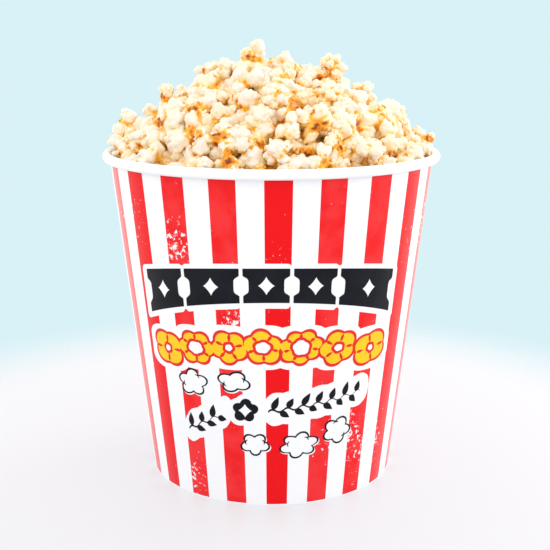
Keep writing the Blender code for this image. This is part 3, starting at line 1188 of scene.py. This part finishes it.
for kind, parts in heap_parts.items():
    used = np.cumsum([0] + [len(part[0]) for part in parts[:-1]])
    points = kept_inside(np.vstack([part[0] for part in parts]))
    normals = np.vstack([part[1] for part in parts])
    triangles = np.vstack([part[2] + first for part, first in zip(parts, used)])
    flakes = mesh_object(f"flakes_{kind}", points, [triangles], [popcorn])
    for name, column in (("hull", 3), ("crease", 4), ("tone", 5)):
        point_attribute(flakes, name, np.concatenate([part[column] for part in parts]))
    point_attribute(flakes, "shelter_shade", shelter_at(points, normals))
    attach(flakes, "root")
    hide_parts("popcorn_heap")

# --- Packed core ---------------------------------------------------------------------------------
# What the flakes lie on: popcorn packed too deep to be seen one by one. It fills the tub from the
# base up to 25 mm under the heap's outline. Its top is puffed and creased like the flakes.

core_depth = 0.025
core_gap = 0.0003  # between the core and the board round it and under it
core_floor = disc_top + core_gap
core_edge = rim_top - 0.028  # where its side meets its top
broad_puff = 0.0040
fine_puff = 0.0018
core_turns = np.arange(-180.0, 180.0, 1.5)
core_rings = 80
share = np.linspace(0, 1, core_rings + 1)[1:-1, None]
plan = (cone_radius(core_edge) - board - core_gap) * share
dome = around_axis(plan, np.zeros((1, 1)), core_turns[None, :])
dome_height = np.maximum(outline_height(dome[..., 0], dome[..., 1]) - core_depth, core_edge)
broad = np.abs(waves(dome.reshape(-1, 3), 0.022, draw)).reshape(dome.shape[:2])
fine = np.abs(waves(dome.reshape(-1, 3), 0.0075, draw)).reshape(dome.shape[:2])
dome[..., 2] = dome_height + (broad_puff * broad + fine_puff * fine) * (1 - share**4)
side_heights = np.linspace(core_edge, core_floor, 12)[:, None]
side_radii = cone_radius(side_heights) - board - core_gap
side = around_axis(side_radii, side_heights, core_turns[None, :])
core_grid = np.vstack([dome, side])
core_size = core_grid.shape[:2]
core_poles = [[0, 0, dome[0, :, 2].mean()], [0, 0, core_floor]]
core_points = np.vstack([core_grid.reshape(-1, 3), core_poles])
core_faces = [grid_faces(*core_size, closed_columns=True), *pole_fans(*core_size)]
packed_core = mesh_object("packed_core", core_points, core_faces, [popcorn])
# Painted warm shade: gold in the core's hollows through the crease mask, and a fixed share of it
# over all of it.
core_crease = np.full(len(core_points), 0.3)
core_crease[: dome[..., 0].size] = np.clip(1.2 - 1.5 * broad - 0.6 * fine, 0, 1).ravel()
point_attribute(packed_core, "crease", core_crease)
for name, value in (("hull", 0.0), ("tone", 0.5), ("shelter_shade", 0.55)):
    point_attribute(packed_core, name, np.full(len(core_points), value))
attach(packed_core, "root")
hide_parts("popcorn_heap")

# --- Studio --------------------------------------------------------------------------------------
# A plain pale floor that fades into the pale surround, soft boxes round the tub, and the camera.
# The floor is open under the foot and clear from below, so that the base can be looked at.

floor_material, tree, shader = new_material("pale floor", 0.50, 0.2)
shader.inputs["Base Color"].default_value = (0.205, 0.212, 0.225, 1.0)
shader.inputs["Emission Color"].default_value = (0.985, 0.975, 1.0, 1.0)
shader.inputs["Emission Strength"].default_value = 0.61
place = object_place(tree)
far = node(tree, "ShaderNodeVectorMath", operation="LENGTH")
feed(tree, far.inputs[0], place)
shown = calculate(tree, "SUBTRACT", 1.0, ease(tree, far.outputs["Value"], 0.20, 0.32))
from_below = node(tree, "ShaderNodeNewGeometry").outputs["Backfacing"]
shown = calculate(tree, "MULTIPLY", shown, calculate(tree, "SUBTRACT", 1.0, from_below))
tree.links.new(shown, shader.inputs["Alpha"])
floor_rings = np.array([foot_radius - 0.002, 0.12, 0.2, 0.4])[:, None]
floor_turns = np.arange(-180.0, 180.0, 5.0)[None, :]
floor_points = around_axis(floor_rings, np.zeros((4, 1)), floor_turns)
floor_faces = grid_faces(*floor_points.shape[:2], closed_columns=True)
floor = mesh_object("floor", floor_points, [floor_faces], [floor_material])

# The surround: the camera sees a pale blue, and the tub is lit by a softer white.
world = bpy.data.worlds.new("pale surround")
world.use_nodes = True
tree = world.node_tree
seen = tree.nodes["Background"]
seen.inputs["Color"].default_value = (0.694, 0.887, 0.930, 1.0)
lit = node(tree, "ShaderNodeBackground")
lit.inputs["Color"].default_value = (1.0, 0.985, 0.965, 1.0)
lit.inputs["Strength"].default_value = 1.08
either = node(tree, "ShaderNodeMixShader")
tree.links.new(node(tree, "ShaderNodeLightPath").outputs["Is Camera Ray"], either.inputs[0])
tree.links.new(lit.outputs[0], either.inputs[1])
tree.links.new(seen.outputs[0], either.inputs[2])
tree.links.new(either.outputs[0], tree.nodes["World Output"].inputs["Surface"])
bpy.context.scene.world = world
bpy.context.scene.view_settings.view_transform = "Standard"


# The soft boxes: place, width, power and colour. All shine towards the upper part of the tub.
aim = Vector((0.0, 0.0, rim_top * 0.7))
for name, place, width, power, colour in (
    ("key", (-0.75, -0.85, 1.05), 0.9, 2.3, (1.0, 0.98, 0.96)),
    ("fill", (0.95, -0.65, 0.75), 0.9, 2.2, (1.0, 0.99, 0.97)),
    ("top", (0.0, 0.1, 1.25), 0.8, 1.4, (1.0, 0.98, 0.95)),
    ("back left", (-1.0, 0.62, 0.42), 0.8, 3.0, (1.0, 0.98, 1.0)),
    ("back right", (1.0, 0.62, 0.42), 0.8, 11.0, (1.0, 0.98, 1.0)),
):
    light = bpy.data.lights.new(name, "AREA")
    light.size = width
    light.energy = power
    light.color = colour
    holder = bpy.data.objects.new(name, light)
    holder.location = place
    holder.rotation_euler = (aim - Vector(place)).to_track_quat("-Z", "Y").to_euler()
    bpy.context.scene.collection.objects.link(holder)

view = bpy.data.cameras.new("camera")
view.sensor_width = 36.0
view.lens = 69.0
view.clip_start = 0.01
camera = bpy.data.objects.new("camera", view)
camera.location = (0.0, -0.564, 0.2365)
camera.rotation_euler = (math.radians(90 - 13.06), 0.0, math.radians(-0.197))
bpy.context.scene.collection.objects.link(camera)
bpy.context.scene.camera = camera
